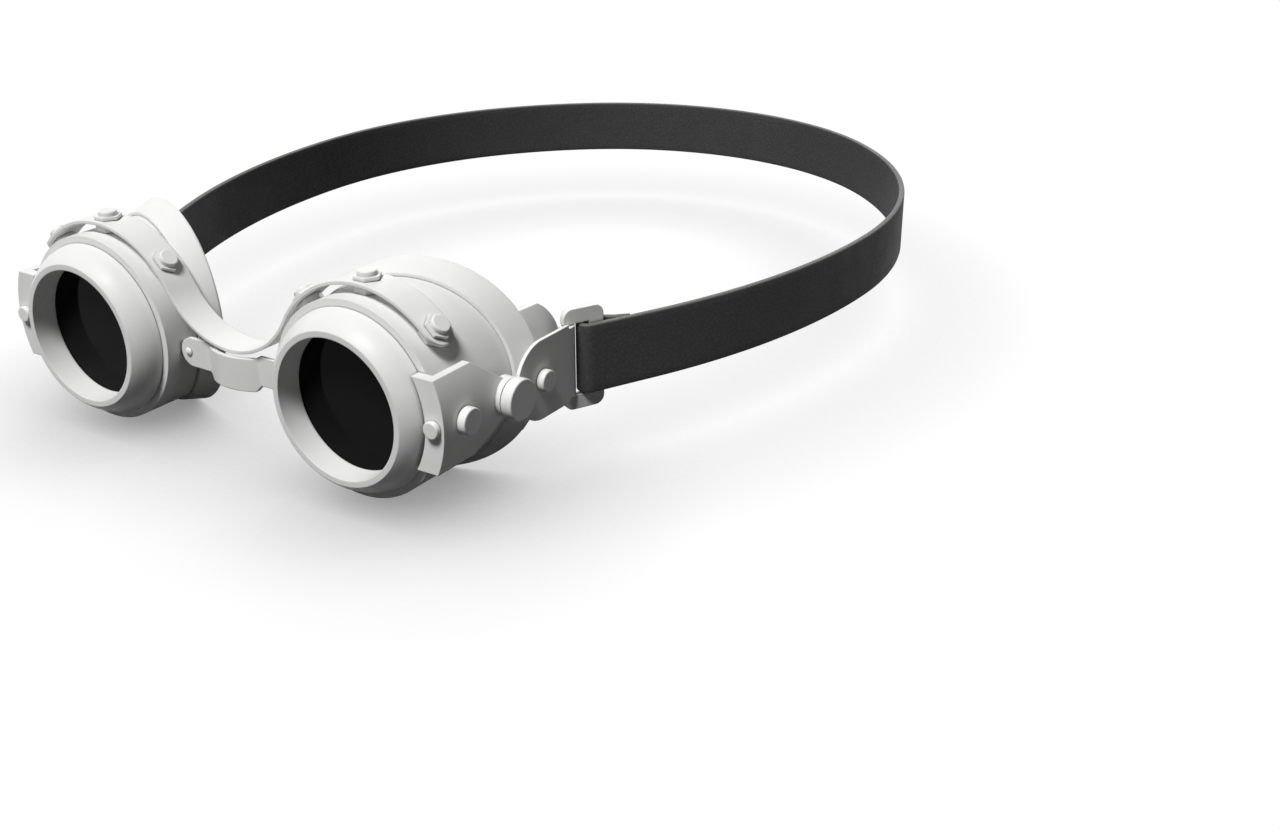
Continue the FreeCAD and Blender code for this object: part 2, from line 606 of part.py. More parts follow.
# Strap plate, pivot stud and ring
def strap_plate():
    round_end = across_x(PLATE_HALF, PIVOT_Y, PLATE_X, PLATE_OUT_X)
    flat = Part.makeBox(PLATE_T, ROLL_Y - ROLL_R - PIVOT_Y, 2 * PLATE_HALF, V(PLATE_X, PIVOT_Y, -PLATE_HALF))
    tongue = Part.makeBox(PLATE_T, ROLL_Y - PIVOT_Y, 2 * ROLL_HALF, V(PLATE_X, PIVOT_Y, -ROLL_HALF))
    roll = tube(ROLL_R, ROLL_IN_R, V(ROLL_X, ROLL_Y, -ROLL_HALF), V(ROLL_X, ROLL_Y, ROLL_HALF))
    bore = rod(ROLL_IN_R, V(ROLL_X, ROLL_Y, -FAR), V(ROLL_X, ROLL_Y, FAR))
    plate = round_end.fuse(flat).fuse(tongue).fuse(roll).cut(bore).removeSplitter()
    return plate.cut(across_x(PIVOT_SHANK_R + TURN_CLEAR, PIVOT_Y, EYE_X, PLATE_OUT_X + 1))


def plate_pivot():
    seat = PLATE_OUT_X + SIDE_CLEAR
    face = seat + PIVOT_HEAD_H
    head = across_x(PIVOT_HEAD_R, PIVOT_Y, seat, face)
    head = rounded(head, EDGE, lambda e: abs(e.CenterOfMass.x - face) < 0.01)
    return head.fuse(across_x(PIVOT_SHANK_R, PIVOT_Y, PIVOT_ROOT_X + SEATED, seat + 0.5))


def strap_path():
    """The loop's side arc, from where the rings hold the strap.

    The side arc is tangent to the widest point, and its straight lead passes just outside the flat bar
    of the ring, so its radius follows from where the ring's round bar lies.
    """
    drop = RING_T / 2 + STRAP_EYE_CLEAR + STRAP_T / 2
    lead = RING_BAR_GAP + STRAP_LEAD
    dx = STRAP_WIDE_X - ROLL_X
    dy = STRAP_WIDE_Y - ROLL_Y
    radius = (dx ** 2 + dy ** 2 - drop ** 2 - lead ** 2) / (2 * (dx - drop))
    centre = V(STRAP_WIDE_X - radius, STRAP_WIDE_Y, 0)
    bar = V(ROLL_X, ROLL_Y, 0) - centre
    angle = math.atan2(bar.y, bar.x) + math.atan2(lead, radius - drop)
    return centre, radius, angle


def strap_frame():
    """Directions along and out of the ring, and the middle of its flat bar."""
    _, _, angle = strap_path()
    out = V(math.cos(angle), math.sin(angle), 0)
    along = V(-math.sin(angle), math.cos(angle), 0)
    return along, out, V(ROLL_X, ROLL_Y, 0) + along * RING_BAR_GAP


def buckle_ring():
    along, out, flat_bar = strap_frame()
    pin = V(ROLL_X, ROLL_Y, 0)

    def slab(a0, a1, half):
        """A plate of the ring's thickness between two places along it."""
        low = pin + out * (-RING_T / 2) + V(0, 0, -half)
        points = [low + along * a0, low + along * a1]
        points += [p + V(0, 0, 2 * half) for p in reversed(points)]
        return prism(points, out * RING_T)

    rear = RING_BAR_GAP + RING_BAR_W / 2
    plate = slab(-RING_FRONT, rear, RING_HALF)
    plate = rounded(plate, RING_CORNER, lambda e: e.Length < RING_T + 0.01)
    plate = plate.cut(slab(-RING_FRONT - 1, rear - RING_BAR_W, RING_SLOT_HALF))
    bar_end = RING_SLOT_HALF + 1
    return plate.fuse(rod(RING_BAR_R, pin - V(0, 0, bar_end), pin + V(0, 0, bar_end)))


def strap():
    """One closed loop of flat strap, with an eye folded round the flat bar of each ring."""
    along, out, bar = strap_frame()
    centre, side_r, start = strap_path()
    half = STRAP_T / 2
    back_run = STRAP_BACK_Y - STRAP_BACK_R - STRAP_WIDE_Y
    wide = STRAP_WIDE_X - STRAP_BACK_R
    temple_r = STRAP_BACK_R + (wide ** 2 + back_run ** 2) / (2 * wide)
    temple = V(STRAP_WIDE_X - temple_r, STRAP_WIDE_Y, 0)
    back = V(0, STRAP_BACK_Y - STRAP_BACK_R, 0)
    meet = math.atan2(back.y - temple.y, back.x - temple.x)
    low = V(0, 0, -STRAP_HALF)
    bend = -RING_BAR_W / 2
    layer = EYE_HALF + STRAP_T

    def place(a, w):
        return bar + along * a + out * w + low

    def polar(middle, radius, angle):
        return middle + V(radius * math.cos(angle), radius * math.sin(angle), 0) + low

    def sweep(middle, radius, a0, a1):
        return arc(polar(middle, radius, a0), polar(middle, radius, (a0 + a1) / 2), polar(middle, radius, a1))

    closed = RING_BAR_W / 2 + STRAP_MERGE
    tail_in = EYE_HALF - STRAP_T
    side = [Part.makeLine(place(bend, layer), place(STRAP_LEAD, layer)),
            sweep(centre, side_r + half, start, 0),
            sweep(temple, temple_r + half, 0, meet),
            sweep(temple, temple_r - half, 0, meet),
            sweep(centre, side_r - half, start, 0),
            arc(place(bend, layer), place(bend - layer, 0), place(bend, -layer))]
    side += lines([place(STRAP_LEAD, EYE_HALF), place(STRAP_TAIL, EYE_HALF), place(closed, tail_in),
                   place(-bend, -layer), place(bend, -layer)])
    eye_edges = [arc(place(bend, EYE_HALF), place(bend - EYE_HALF, 0), place(bend, -EYE_HALF))]
    eye_edges += lines([place(bend, -EYE_HALF), place(-bend, -EYE_HALF), place(closed, EYE_HALF),
                        place(bend, EYE_HALF)])
    rear = [sweep(back, STRAP_BACK_R + half, meet, math.pi - meet),
            sweep(back, STRAP_BACK_R - half, meet, math.pi - meet)]
    edges = side + [mirror(e) for e in side] + rear
    width = V(0, 0, 2 * STRAP_HALF)
    loop = Part.Face(Part.Wire(Part.__sortEdges__(edges))).extrude(width)
    hole = Part.Face(Part.Wire(Part.__sortEdges__(eye_edges))).extrude(width)
    length = 2 * (RING_BAR_W / 2 + STRAP_LEAD - side_r * start + temple_r * meet
                  + STRAP_BACK_R * (math.pi / 2 - meet))
    print("strap between the rings: %.0f mm along its middle line" % length)
    return loop.cut(hole).cut(mirror(hole))


def mirror(shape):
    """The same shape on the other side of the face."""
    return shape.mirror(V(0, 0, 0), V(1, 0, 0))


def save(name, shape):
    """Writes one piece and prints how many solids it holds."""
    shape.exportStep("parts/" + name + ".step")
    print("%-28s solids %d  volume %8.1f mm3  valid %s"
          % (name, len(shape.Solids), shape.Volume, shape.isValid()))


PAIRED = {
    "barrel": barrel,
    "rear_cup": rear_cup,
    "bezel": bezel,
    "lens": lens,
    "lens_gasket": lens_gasket,
    "inner_pane": inner_pane,
    "hex_spacers": hex_spacers,
    "hex_bolts": hex_bolts,
    "bridge_rivet": bridge_rivet,
    "side_bracket": side_bracket,
    "bracket_front_rivet": bracket_front_rivet,
    "bracket_side_rivet": bracket_side_rivet,
    "thumb_screw": thumb_screw,
    "strap_plate": strap_plate,
    "plate_pivot": plate_pivot,
    "buckle_ring": buckle_ring,
}
SINGLE = {"brow_strip": brow_strip, "nose_bridge": nose_bridge, "strap": strap}

os.makedirs("parts", exist_ok=True)
for piece, make in PAIRED.items():
    shape = make()
    save("left_" + piece, shape)
    save("right_" + piece, mirror(shape))
for piece, make in SINGLE.items():
    save(piece, make())
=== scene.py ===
# %% [markdown]
# # Dressing a pair of steampunk goggles
#
# The goggles were drawn first as solids: two eyecups, a brow strip, a nose bridge, side brackets and a
# head strap. This lesson loads those solids as a fixed frame, gives every piece its finish, makes the
# soft strap as a mesh, and lights the whole for a portrait. Everything is in metres. X runs across the
# face, Y runs from the front of the goggles to the back of the head, and Z is up.

# %% Load the frame
import bpy
import math
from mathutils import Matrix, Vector


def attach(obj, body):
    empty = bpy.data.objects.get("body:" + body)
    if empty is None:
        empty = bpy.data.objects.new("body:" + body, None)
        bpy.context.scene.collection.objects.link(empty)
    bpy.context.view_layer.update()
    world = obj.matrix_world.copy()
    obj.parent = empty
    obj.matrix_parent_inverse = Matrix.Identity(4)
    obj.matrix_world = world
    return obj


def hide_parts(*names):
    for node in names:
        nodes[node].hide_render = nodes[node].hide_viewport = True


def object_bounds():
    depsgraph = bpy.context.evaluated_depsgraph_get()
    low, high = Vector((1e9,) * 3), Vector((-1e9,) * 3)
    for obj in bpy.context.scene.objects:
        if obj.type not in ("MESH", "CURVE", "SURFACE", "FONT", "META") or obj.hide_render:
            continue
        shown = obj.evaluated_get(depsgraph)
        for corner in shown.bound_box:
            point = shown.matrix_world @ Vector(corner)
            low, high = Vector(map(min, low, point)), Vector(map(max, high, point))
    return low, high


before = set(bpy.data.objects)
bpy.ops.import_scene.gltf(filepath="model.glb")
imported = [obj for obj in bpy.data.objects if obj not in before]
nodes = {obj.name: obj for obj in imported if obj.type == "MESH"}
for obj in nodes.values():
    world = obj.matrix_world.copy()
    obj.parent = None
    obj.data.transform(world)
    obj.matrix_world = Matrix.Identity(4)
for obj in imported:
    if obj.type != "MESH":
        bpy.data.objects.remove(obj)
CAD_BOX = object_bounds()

MM = 0.001

# %% [markdown]
# ## The camera
#
# The picture looks at the goggles from the front, about a third of a right angle to the wearer's left,
# and from above. The place below was found by matching the centres and rims of both eyecups, so the
# lens needs no shift. A constraint that tracks an empty would also aim the camera, but the direction is
# already known, and a track quaternion turns it into a rotation without an extra object.

# %% Aim the camera
VIEW_AZIMUTH = math.radians(32.07)
VIEW_ELEVATION = math.radians(24.40)
VIEW_PLACE = Vector((225.42, -193.46, 119.11)) * MM
PICTURE_WIDTH = 1280
FOCAL_PIXELS = 1534
SENSOR = 36.0
NEAREST_SEEN = 10 * MM

view_back = Vector((math.sin(VIEW_AZIMUTH) * math.cos(VIEW_ELEVATION),
                    -math.cos(VIEW_AZIMUTH) * math.cos(VIEW_ELEVATION),
                    math.sin(VIEW_ELEVATION)))
camera_lens = bpy.data.cameras.new("portrait_camera")
camera_lens.sensor_width = SENSOR
camera_lens.lens = SENSOR * FOCAL_PIXELS / PICTURE_WIDTH
camera_lens.clip_start = NEAREST_SEEN
camera = bpy.data.objects.new("portrait_camera", camera_lens)
camera.location = VIEW_PLACE
camera.rotation_mode = "QUATERNION"
camera.rotation_quaternion = (-view_back).to_track_quat("-Z", "Y")
bpy.context.scene.collection.objects.link(camera)
bpy.context.scene.camera = camera
print("camera lens %.2f mm at %s" % (camera_lens.lens, tuple(round(v, 4) for v in camera.location)))

# %% [markdown]
# ## A short way to write node trees
#
# Every finish here is a small tree of nodes. Writing each link by hand is long, so a helper makes a
# node and fills its inputs: a plain value is set on the socket, and another node's output is linked.
# The helper works on any tree, so that the world at the end can use it too.

# %% Node helpers
PATCH_LOW = 0.3
PATCH_HIGH = 0.7


class Nodes:
    """A node tree, with short calls that add nodes to it."""

    def __init__(self, tree):
        self.tree = tree

    def add(self, kind, settings=None, **inputs):
        """Makes a node. An underscore in an input's name stands for a space."""
        made = self.tree.nodes.new(kind)
        for key, value in (settings or {}).items():
            setattr(made, key, value)
        for key, value in inputs.items():
            self.fill(made.inputs[key.replace("_", " ")], value)
        return made

    def fill(self, socket, value):
        """Links another node's output to a socket, or sets a plain value on it."""
        if isinstance(value, bpy.types.NodeSocket):
            self.tree.links.new(value, socket)
        else:
            socket.default_value = value

    def ramp(self, value, low, high, start=0.0, end=1.0):
        """Maps low..high of a value to start..end."""
        made = self.add("ShaderNodeMapRange", {"clamp": True}, Value=value, From_Min=low, From_Max=high,
                        To_Min=start, To_Max=end)
        return made.outputs["Result"]

    def compute(self, operation, first, second=0.0):
        """One step of arithmetic on two values."""
        made = self.add("ShaderNodeMath", {"operation": operation})
        self.fill(made.inputs[0], first)
        self.fill(made.inputs[1], second)
        return made.outputs["Value"]

    def ray_is(self, *kinds):
        """1 where the ray that looks is one of these kinds, such as Camera."""
        path = self.add("ShaderNodeLightPath").outputs
        found = 0.0
        for kind in kinds:
            found = self.compute("MAXIMUM", found, path["Is %s Ray" % kind])
        return found


def grey(value, warm=0.0):
    """A grey as a colour: warm is the share of blue that is missing."""
    return (value, value, value * (1 - warm), 1.0)


print("node helpers ready")

# %% [markdown]
# ## A finish
#
# A finish is a material with one principled shader. The textures on it read object coordinates, which
# are in metres, so that a grain of a tenth of a millimetre can be asked for by its real size. Image
# textures would need an unwrapped mesh for each of the solids; noise needs none.

# %% Finish helper
class Finish(Nodes):
    """A material with a principled shader, and the textures that its finishes share."""

    def __init__(self, name):
        self.material = bpy.data.materials.new(name)
        self.material.use_nodes = True
        super().__init__(self.material.node_tree)
        self.tree.nodes.clear()
        self.place = self.add("ShaderNodeTexCoord").outputs["Object"]
        self.shader = self.add("ShaderNodeBsdfPrincipled")
        self.output = self.add("ShaderNodeOutputMaterial")
        self.show(self.shader.outputs["BSDF"])

    def show(self, surface):
        """Sends a shader to the material's output."""
        self.fill(self.output.inputs["Surface"], surface)

    def give(self, **inputs):
        """Fills inputs of the principled shader."""
        for key, value in inputs.items():
            self.fill(self.shader.inputs[key.replace("_", " ")], value)

    def noise(self, size, detail=3.0, rough=0.5):
        """Noise whose features are about that many metres across."""
        return self.add("ShaderNodeTexNoise", Vector=self.place, Scale=1 / size, Detail=detail,
                        Roughness=rough).outputs["Fac"]

    def patches(self, size, detail=3.0, rough=0.5, start=0.0, end=1.0):
        """Soft patches of that size, spread over start..end."""
        return self.ramp(self.noise(size, detail, rough), PATCH_LOW, PATCH_HIGH, start, end)

    def mix(self, share, first, second):
        """Blends two colours."""
        made = self.add("ShaderNodeMix", {"data_type": "RGBA"})
        for index, given in ((0, share), (6, first), (7, second)):
            self.fill(made.inputs[index], given)
        return made.outputs[2]

    def bump(self, height, depth, strength, normal=None):
        """A normal that is pushed by a height, on top of another normal if one is given."""
        made = self.add("ShaderNodeBump", Strength=strength, Distance=depth, Height=height)
        if normal is not None:
            self.fill(made.inputs["Normal"], normal)
        return made.outputs["Normal"]


print("finish helper ready")

# %% [markdown]
# ## Rounded and rubbed edges
#
# The solids have sharp edges, and real sheet metal never has. A bevel modifier would cut new faces on
# every solid. The bevel node rounds only the normal, so light runs softly over an edge. Where that
# rounded normal leaves the true one, there is an edge, and noise breaks the rubbed line into chips.

# %% Edge masks
EDGE_ROUND = 0.30 * MM
EDGE_SEEK = 0.45 * MM
EDGE_SAMPLES = 6
NORMALS_AGREE = 0.985
NORMALS_PART = 0.90
CHIP = 0.9 * MM
CHIP_START = 0.50
CHIP_FULL = 0.68


def rounded_normal(finish, radius):
    """The surface normal, rounded over a short way at edges."""
    return finish.add("ShaderNodeBevel", {"samples": EDGE_SAMPLES}, Radius=radius).outputs["Normal"]


def rubbed_edges(finish):
    """A mask of the edges that hands and cases rub."""
    agree = finish.add("ShaderNodeVectorMath", {"operation": "DOT_PRODUCT"})
    finish.fill(agree.inputs[0], finish.add("ShaderNodeNewGeometry").outputs["Normal"])
    finish.fill(agree.inputs[1], rounded_normal(finish, EDGE_SEEK))
    edge = finish.ramp(agree.outputs["Value"], NORMALS_AGREE, NORMALS_PART)
    chips = finish.ramp(finish.noise(CHIP, 4.0, 0.6), CHIP_START, CHIP_FULL)
    return finish.compute("MULTIPLY", edge, chips)


print("edges are rounded over %.2f mm" % (EDGE_ROUND / MM))

# %% [markdown]
# ## White satin paint
#
# All the metal on these goggles is one clean white, smooth but not glossy. A real sprayed coat is never
# one colour: it is a little uneven, has a fine orange-peel skin, and shows the metal where edges rub.
# The corners and seams, which ambient occlusion finds, are painted dark as painted shade. One function
# makes the three whites, so that sheet, cups and fasteners differ only in tone, gloss and wear.

# %% Satin paint
CLOUD = 9.0 * MM
THIN_COAT = 0.965
CORNER_SEEK = 1.1 * MM
CORNER_SAMPLES = 6
CORNER_CLOSED = 0.22
CORNER_OPEN = 0.72
CORNER_SHADE_COVER = 0.95
CORNER_SHADE_TONE = 0.07
BARE_METAL = 0.55
SMUDGE = 2.5 * MM
PEEL = 0.22 * MM
PEEL_DEPTH = 0.008 * MM
PEEL_STRENGTH = 0.35
SATIN_SPECULAR = 0.22


def satin_paint(name, tone, gloss, wear):
    """White sprayed metal: tone is its colour, gloss its middle roughness, wear how bare its edges are."""
    finish = Finish(name)
    coat = finish.mix(finish.patches(CLOUD, 4.0), grey(tone * THIN_COAT, 0.012), grey(tone, 0.006))
    # Painted shade: corners and seams that ambient occlusion finds are painted nearly black in the colour.
    corner = finish.add("ShaderNodeAmbientOcclusion", {"samples": CORNER_SAMPLES}, Distance=CORNER_SEEK)
    painted_corner_shade = finish.ramp(corner.outputs["AO"], CORNER_CLOSED, CORNER_OPEN, CORNER_SHADE_COVER, 0.0)
    coat = finish.mix(painted_corner_shade, coat, grey(tone * CORNER_SHADE_TONE, 0.05))
    rubbed = finish.compute("MULTIPLY", rubbed_edges(finish), wear)
    finish.give(Base_Color=finish.mix(rubbed, coat, grey(BARE_METAL, 0.02)))
    finish.give(Roughness=finish.patches(SMUDGE, start=gloss - 0.05, end=gloss + 0.06))
    finish.give(Specular_IOR_Level=SATIN_SPECULAR)
    soft = rounded_normal(finish, EDGE_ROUND)
    finish.give(Normal=finish.bump(finish.noise(PEEL, 2.0), PEEL_DEPTH, PEEL_STRENGTH, soft))
    return finish.material


SHEET_PAINT = satin_paint("white_satin_paint", 0.84, 0.42, 0.35)
CUP_PAINT = satin_paint("white_satin_cup", 0.85, 0.45, 0.25)
FITTING_PAINT = satin_paint("white_satin_fitting", 0.86, 0.36, 0.5)
print("white finishes:", SHEET_PAINT.name, CUP_PAINT.name, FITTING_PAINT.name)

# %% [markdown]
# ## Lens, pane and gasket
#
# The lens is so dark that it reads as black. Clear glass with an absorbing volume would do it too, but
# there is nothing to see through it, so an opaque black with a little specular and a few smears is
# enough, and it keeps well in an export. The pane that closes the back of each eyecup is a frosted
# grey. The gasket is plain matt rubber.

# %% Glass and rubber
GLASS_IOR = 1.5
SMEAR = 7 * MM
FROST_CLOUD = 11 * MM
FROST = 0.12 * MM
FROST_DEPTH = 0.01 * MM
RUBBER_SPECK = 0.4 * MM
RUBBER_DEPTH = 0.03 * MM


def dark_glass():
    """The black lens."""
    finish = Finish("dark_lens_glass")
    smear = finish.ramp(finish.noise(SMEAR, 5.0, 0.65), 0.45, 0.75)
    finish.give(Base_Color=finish.mix(smear, grey(0.0045), grey(0.0065)))
    finish.give(Roughness=finish.ramp(smear, 0.0, 1.0, 0.06, 0.11))
    finish.give(IOR=GLASS_IOR, Specular_IOR_Level=0.04)
    return finish.material


def frosted_glass():
    """The grey pane at the back of an eyecup."""
    finish = Finish("frosted_inner_pane")
    finish.give(Base_Color=finish.mix(finish.patches(FROST_CLOUD, 4.0, 0.6), grey(0.56), grey(0.62)))
    finish.give(Roughness=finish.patches(3 * MM, start=0.42, end=0.55))
    finish.give(Normal=finish.bump(finish.noise(FROST, 1.0), FROST_DEPTH, 0.3))
    finish.give(IOR=GLASS_IOR, Specular_IOR_Level=0.4)
    return finish.material


def matt_rubber():
    """The gasket under the lens."""
    finish = Finish("gasket_rubber")
    speck = finish.noise(RUBBER_SPECK)
    finish.give(Base_Color=finish.mix(speck, grey(0.015), grey(0.03)))
    finish.give(Roughness=finish.ramp(speck, PATCH_LOW, PATCH_HIGH, 0.7, 0.85))
    finish.give(Normal=finish.bump(speck, RUBBER_DEPTH, 0.4))
    return finish.material


LENS_GLASS = dark_glass()
PANE_GLASS = frosted_glass()
RUBBER = matt_rubber()
print("glass and rubber:", LENS_GLASS.name, PANE_GLASS.name, RUBBER.name)

# %% [markdown]
# ## Giving the solids their finishes
#
# A solid keeps its mesh: only its material slot is filled. Finishes could be set one solid at a time,
# but the table below goes by what a piece is, so the left and the right eyecup always match. The strap
# is not in it, because it gets a mesh of its own.

# %% Dress the solids
WEARS = {
    SHEET_PAINT: ("barrel", "bezel", "side_bracket", "strap_plate", "buckle_ring", "brow_strip",
                  "nose_bridge"),
    CUP_PAINT: ("rear_cup",),
    FITTING_PAINT: ("hex_spacers", "hex_bolts", "bridge_rivet", "plate_pivot", "bracket_front_rivet",
                    "bracket_side_rivet", "thumb_screw"),
    LENS_GLASS: ("lens",),
    PANE_GLASS: ("inner_pane",),
    RUBBER: ("lens_gasket",),
}
finish_of = {kind: finish for finish, kinds in WEARS.items() for kind in kinds}

dressed = 0
for name, solid in nodes.items():
    kind = name.removeprefix("left_").removeprefix("right_")
    if kind in finish_of:
        solid.data.materials.clear()
        solid.data.materials.append(finish_of[kind])
        dressed += 1
print("dressed", dressed, "solids")

# %% [markdown]
# ## Black leather
#
# The strap is dull black leather with a raw edge that is a little lighter. Grain is a net of small
# cells, so a cell texture gives the bump, with finer noise on top, and the same cells paint the creases
# darker as painted shade. The edge needs no extra piece: the strap stands upright, so how far a point
# lies from its middle height says whether it is on the edge.

# %% Leather
STRAP_WIDTH = 15.0 * MM
RAW_EDGE = 0.25 * MM
GRAIN = 1.1 * MM
CREASE_WIDTH = 0.22
PORE = 0.35 * MM
HIDE_CLOUD = 14 * MM
GRAIN_DEPTH = 0.05 * MM
LEATHER_SPECULAR = 0.10


def black_leather():
    """Grained hide with a raw, lighter edge, and painted shade in the creases of its grain."""
    finish = Finish("black_leather")
    height = finish.add("ShaderNodeSeparateXYZ", Vector=finish.place).outputs["Z"]
    edge = STRAP_WIDTH / 2 - RAW_EDGE
    raw = finish.ramp(finish.compute("ABSOLUTE", height), edge, edge + RAW_EDGE * 0.7)
    cells = finish.add("ShaderNodeTexVoronoi", {"feature": "DISTANCE_TO_EDGE"}, Vector=finish.place,
                       Scale=1 / GRAIN)
    swell = finish.ramp(cells.outputs["Distance"], 0.0, CREASE_WIDTH)
    cloud = finish.patches(HIDE_CLOUD, 4.0, 0.6)
    hide = finish.mix(cloud, grey(0.066), grey(0.084))
    # Painted shade: the creases between the grain's cells are painted darker.
    hide = finish.mix(finish.ramp(swell, 0.0, 1.0, 0.35, 0.0), hide, grey(0.03))
    finish.give(Base_Color=finish.mix(raw, hide, grey(0.15, 0.03)))
    finish.give(Roughness=finish.ramp(cloud, 0.0, 1.0, 0.58, 0.70))
    finish.give(Specular_IOR_Level=LEATHER_SPECULAR)
    pores = finish.compute("MULTIPLY", finish.noise(PORE, 3.0, 0.6), 0.5)
    skin = finish.compute("ADD", finish.compute("MULTIPLY", swell, 0.7), pores)
    finish.give(Normal=finish.bump(skin, GRAIN_DEPTH, 0.45))
    return finish.material


LEATHER = black_leather()
print("leather:", LEATHER.name)

# %% [markdown]
# ## The strap's path
#
# One long strip goes round the head. It leaves the flat bar of one ring, runs straight for a little,
# swings out past the temple, turns round the back of the head and returns the same way. Seen from above
# that is a row of straight runs and arcs that meet smoothly. A free curve could be pulled along it by
# eye, but arcs with the sizes of the solid land exactly on the solid.

# %% Points along runs and arcs
STRAP_T = 1.5 * MM
RING_PIN = Vector((59.05, 44.2, 0)) * MM
BAR_GAP = 6.5 * MM
EYE_HALF = 0.95 * MM
LEAD = 13.0 * MM
WIDE = Vector((85.3, 132.0, 0)) * MM
LAYER = EYE_HALF + STRAP_T / 2
LEAST_ARC = 3
LEAST_RUN = 2


def turned(angle):
    """A flat direction at an angle from the X axis."""
    return Vector((math.cos(angle), math.sin(angle), 0))


def arc_points(centre, radius, start, end, step):
    """Points along an arc, without its last one."""
    count = max(LEAST_ARC, math.ceil(abs(end - start) * radius / step))
    return [centre + turned(start + (end - start) * k / count) * radius for k in range(count)]


def run_points(first, last, step):
    """Points along a straight run, without its last one."""
    count = max(LEAST_RUN, math.ceil((last - first).length / step))
    return [first.lerp(last, k / count) for k in range(count)]


def side_arc():
    """Centre, radius and starting angle of the arc past the temple."""
    lead = BAR_GAP + LEAD
    gap = WIDE - RING_PIN
    radius = (gap.length_squared - LAYER ** 2 - lead ** 2) / (2 * (gap.x - LAYER))
    centre = Vector((WIDE.x - radius, WIDE.y, 0))
    pin = RING_PIN - centre
    return centre, radius, math.atan2(pin.y, pin.x) + math.atan2(lead, radius - LAYER)


SIDE_CENTRE, SIDE_R, SIDE_START = side_arc()
print("the arc past the temple has a radius of %.0f mm" % (SIDE_R / MM))

# %% [markdown]
# ## The folded end
#
# At each ring the strap is folded round the flat bar, pared thin and laid on itself inside. The fold is
# drawn in the ring's own directions, along the strap and out from the head, because there it is simple:
# a wedge, a smooth step down to the bar, a short run under it and half a turn round it. The first points
# of the path belong to the pared wedge, and the mesh tells them by their number.

# %% Fold the tail
BAR_HALF = 1.7 * MM
TAIL = 8.0 * MM
TAIL_GAP = 0.03 * MM
MERGE = 4.0 * MM
PARE_STEPS = 6
PARE_TIP = 0.2
MERGE_STEPS = 16
FOLD_STEP = 0.25 * MM
STEP = 1.2 * MM

out = turned(SIDE_START)
along = Vector((-out.y, out.x, 0))
bar = RING_PIN + along * BAR_GAP


def at_bar(a, w):
    """The point that lies a along the strap and w outwards from the middle of the bar."""
    return bar + along * a + out * w


def pared_share(k):
    """How much of its thickness the strap has at the k-th point from its end."""
    return min(1.0, PARE_TIP + (1 - PARE_TIP) * k / PARE_STEPS)


def folded_tail():
    """From the thin end of the tail to where the strap leaves the bar."""
    under = EYE_HALF - STRAP_T / 2 - TAIL_GAP
    closed = BAR_HALF + MERGE
    points = []
    for k in range(PARE_STEPS):
        lift = (1 - pared_share(k)) * STRAP_T / 2
        points.append(at_bar(TAIL + (closed - TAIL) * k / PARE_STEPS, under + lift))
    for k in range(MERGE_STEPS):
        t = k / MERGE_STEPS
        ease = t * t * (3 - 2 * t)
        points.append(at_bar(closed + (BAR_HALF - closed) * t, under + (-LAYER - under) * ease))
    points += run_points(at_bar(BAR_HALF, -LAYER), at_bar(-BAR_HALF, -LAYER), FOLD_STEP)
    half_turn = SIDE_START + math.pi
    points += arc_points(at_bar(-BAR_HALF, 0), LAYER, half_turn, half_turn + math.pi, FOLD_STEP)
    return points + run_points(at_bar(-BAR_HALF, LAYER), at_bar(LEAD, LAYER), STEP)


tail_points = folded_tail()
print("folded end:", len(tail_points), "points")

# %% [markdown]
# ## Round the head
#
# Three arcs take the strap from the temple to the middle of the back, each starting in the direction in
# which the last one ends. The other half is a mirror image, so the path is written once and reversed.

# %% Join the path
BACK_R = 76.0 * MM
BACK_RUN = 19.0 * MM


def head_points():
    """From the end of the straight lead to just before the middle of the back, and that middle."""
    points = arc_points(SIDE_CENTRE, SIDE_R, SIDE_START, 0.0, STEP)
    wide = WIDE.x - BACK_R
    temple_r = BACK_R + (wide ** 2 + BACK_RUN ** 2) / (2 * wide)
    temple = Vector((WIDE.x - temple_r, WIDE.y, 0))
    back = Vector((0, WIDE.y + BACK_RUN, 0))
    meet = math.atan2(back.y - temple.y, back.x - temple.x)
    points += arc_points(temple, temple_r, 0.0, meet, STEP)
    points += arc_points(back, BACK_R, meet, math.pi / 2, STEP)
    return points, back + Vector((0, BACK_R, 0))


round_head, back_point = head_points()
left_half = tail_points + round_head
right_half = [Vector((-p.x, p.y, 0)) for p in reversed(left_half)]
strap_path = left_half + [back_point] + right_half
strap_length = sum((b - a).length for a, b in zip(strap_path, strap_path[1:]))
print("strap path: %d points, %.0f mm with both tails" % (len(strap_path), strap_length / MM))

# %% [markdown]
# ## The strap's mesh
#
# The strip is swept by hand: at each point of the path a small rounded rectangle stands across it, and
# neighbouring outlines are joined by quads. A curve with a bevel object would twist at the tight folds,
# and a solidify modifier would leave the edges square. Along the pared tails the outline gets thinner.

# %% Sweep the strap
EDGE_R = 0.45 * MM
CORNER_STEPS = 4
FACE_ROWS = 10


def strap_outline():
    """The cross-section as (across, height) pairs: outer face, upper edge, inner face, lower edge."""
    half_t = STRAP_T / 2
    flat = STRAP_WIDTH / 2 - EDGE_R
    outer = [(half_t, -flat + 2 * flat * k / FACE_ROWS) for k in range(FACE_ROWS + 1)]
    inner = [(-a, z) for a, z in reversed(outer)]
    upper = []
    for side, start in ((1, 0.0), (-1, math.pi / 2)):
        middle = side * (half_t - EDGE_R)
        for k in range(1, CORNER_STEPS + 1):
            turn = start + math.pi / 2 * k / CORNER_STEPS
            upper.append((middle + EDGE_R * math.cos(turn), flat + EDGE_R * math.sin(turn)))
    lower = [(-a, -z) for a, z in upper]
    return outer + upper + inner[1:] + lower[:-1]


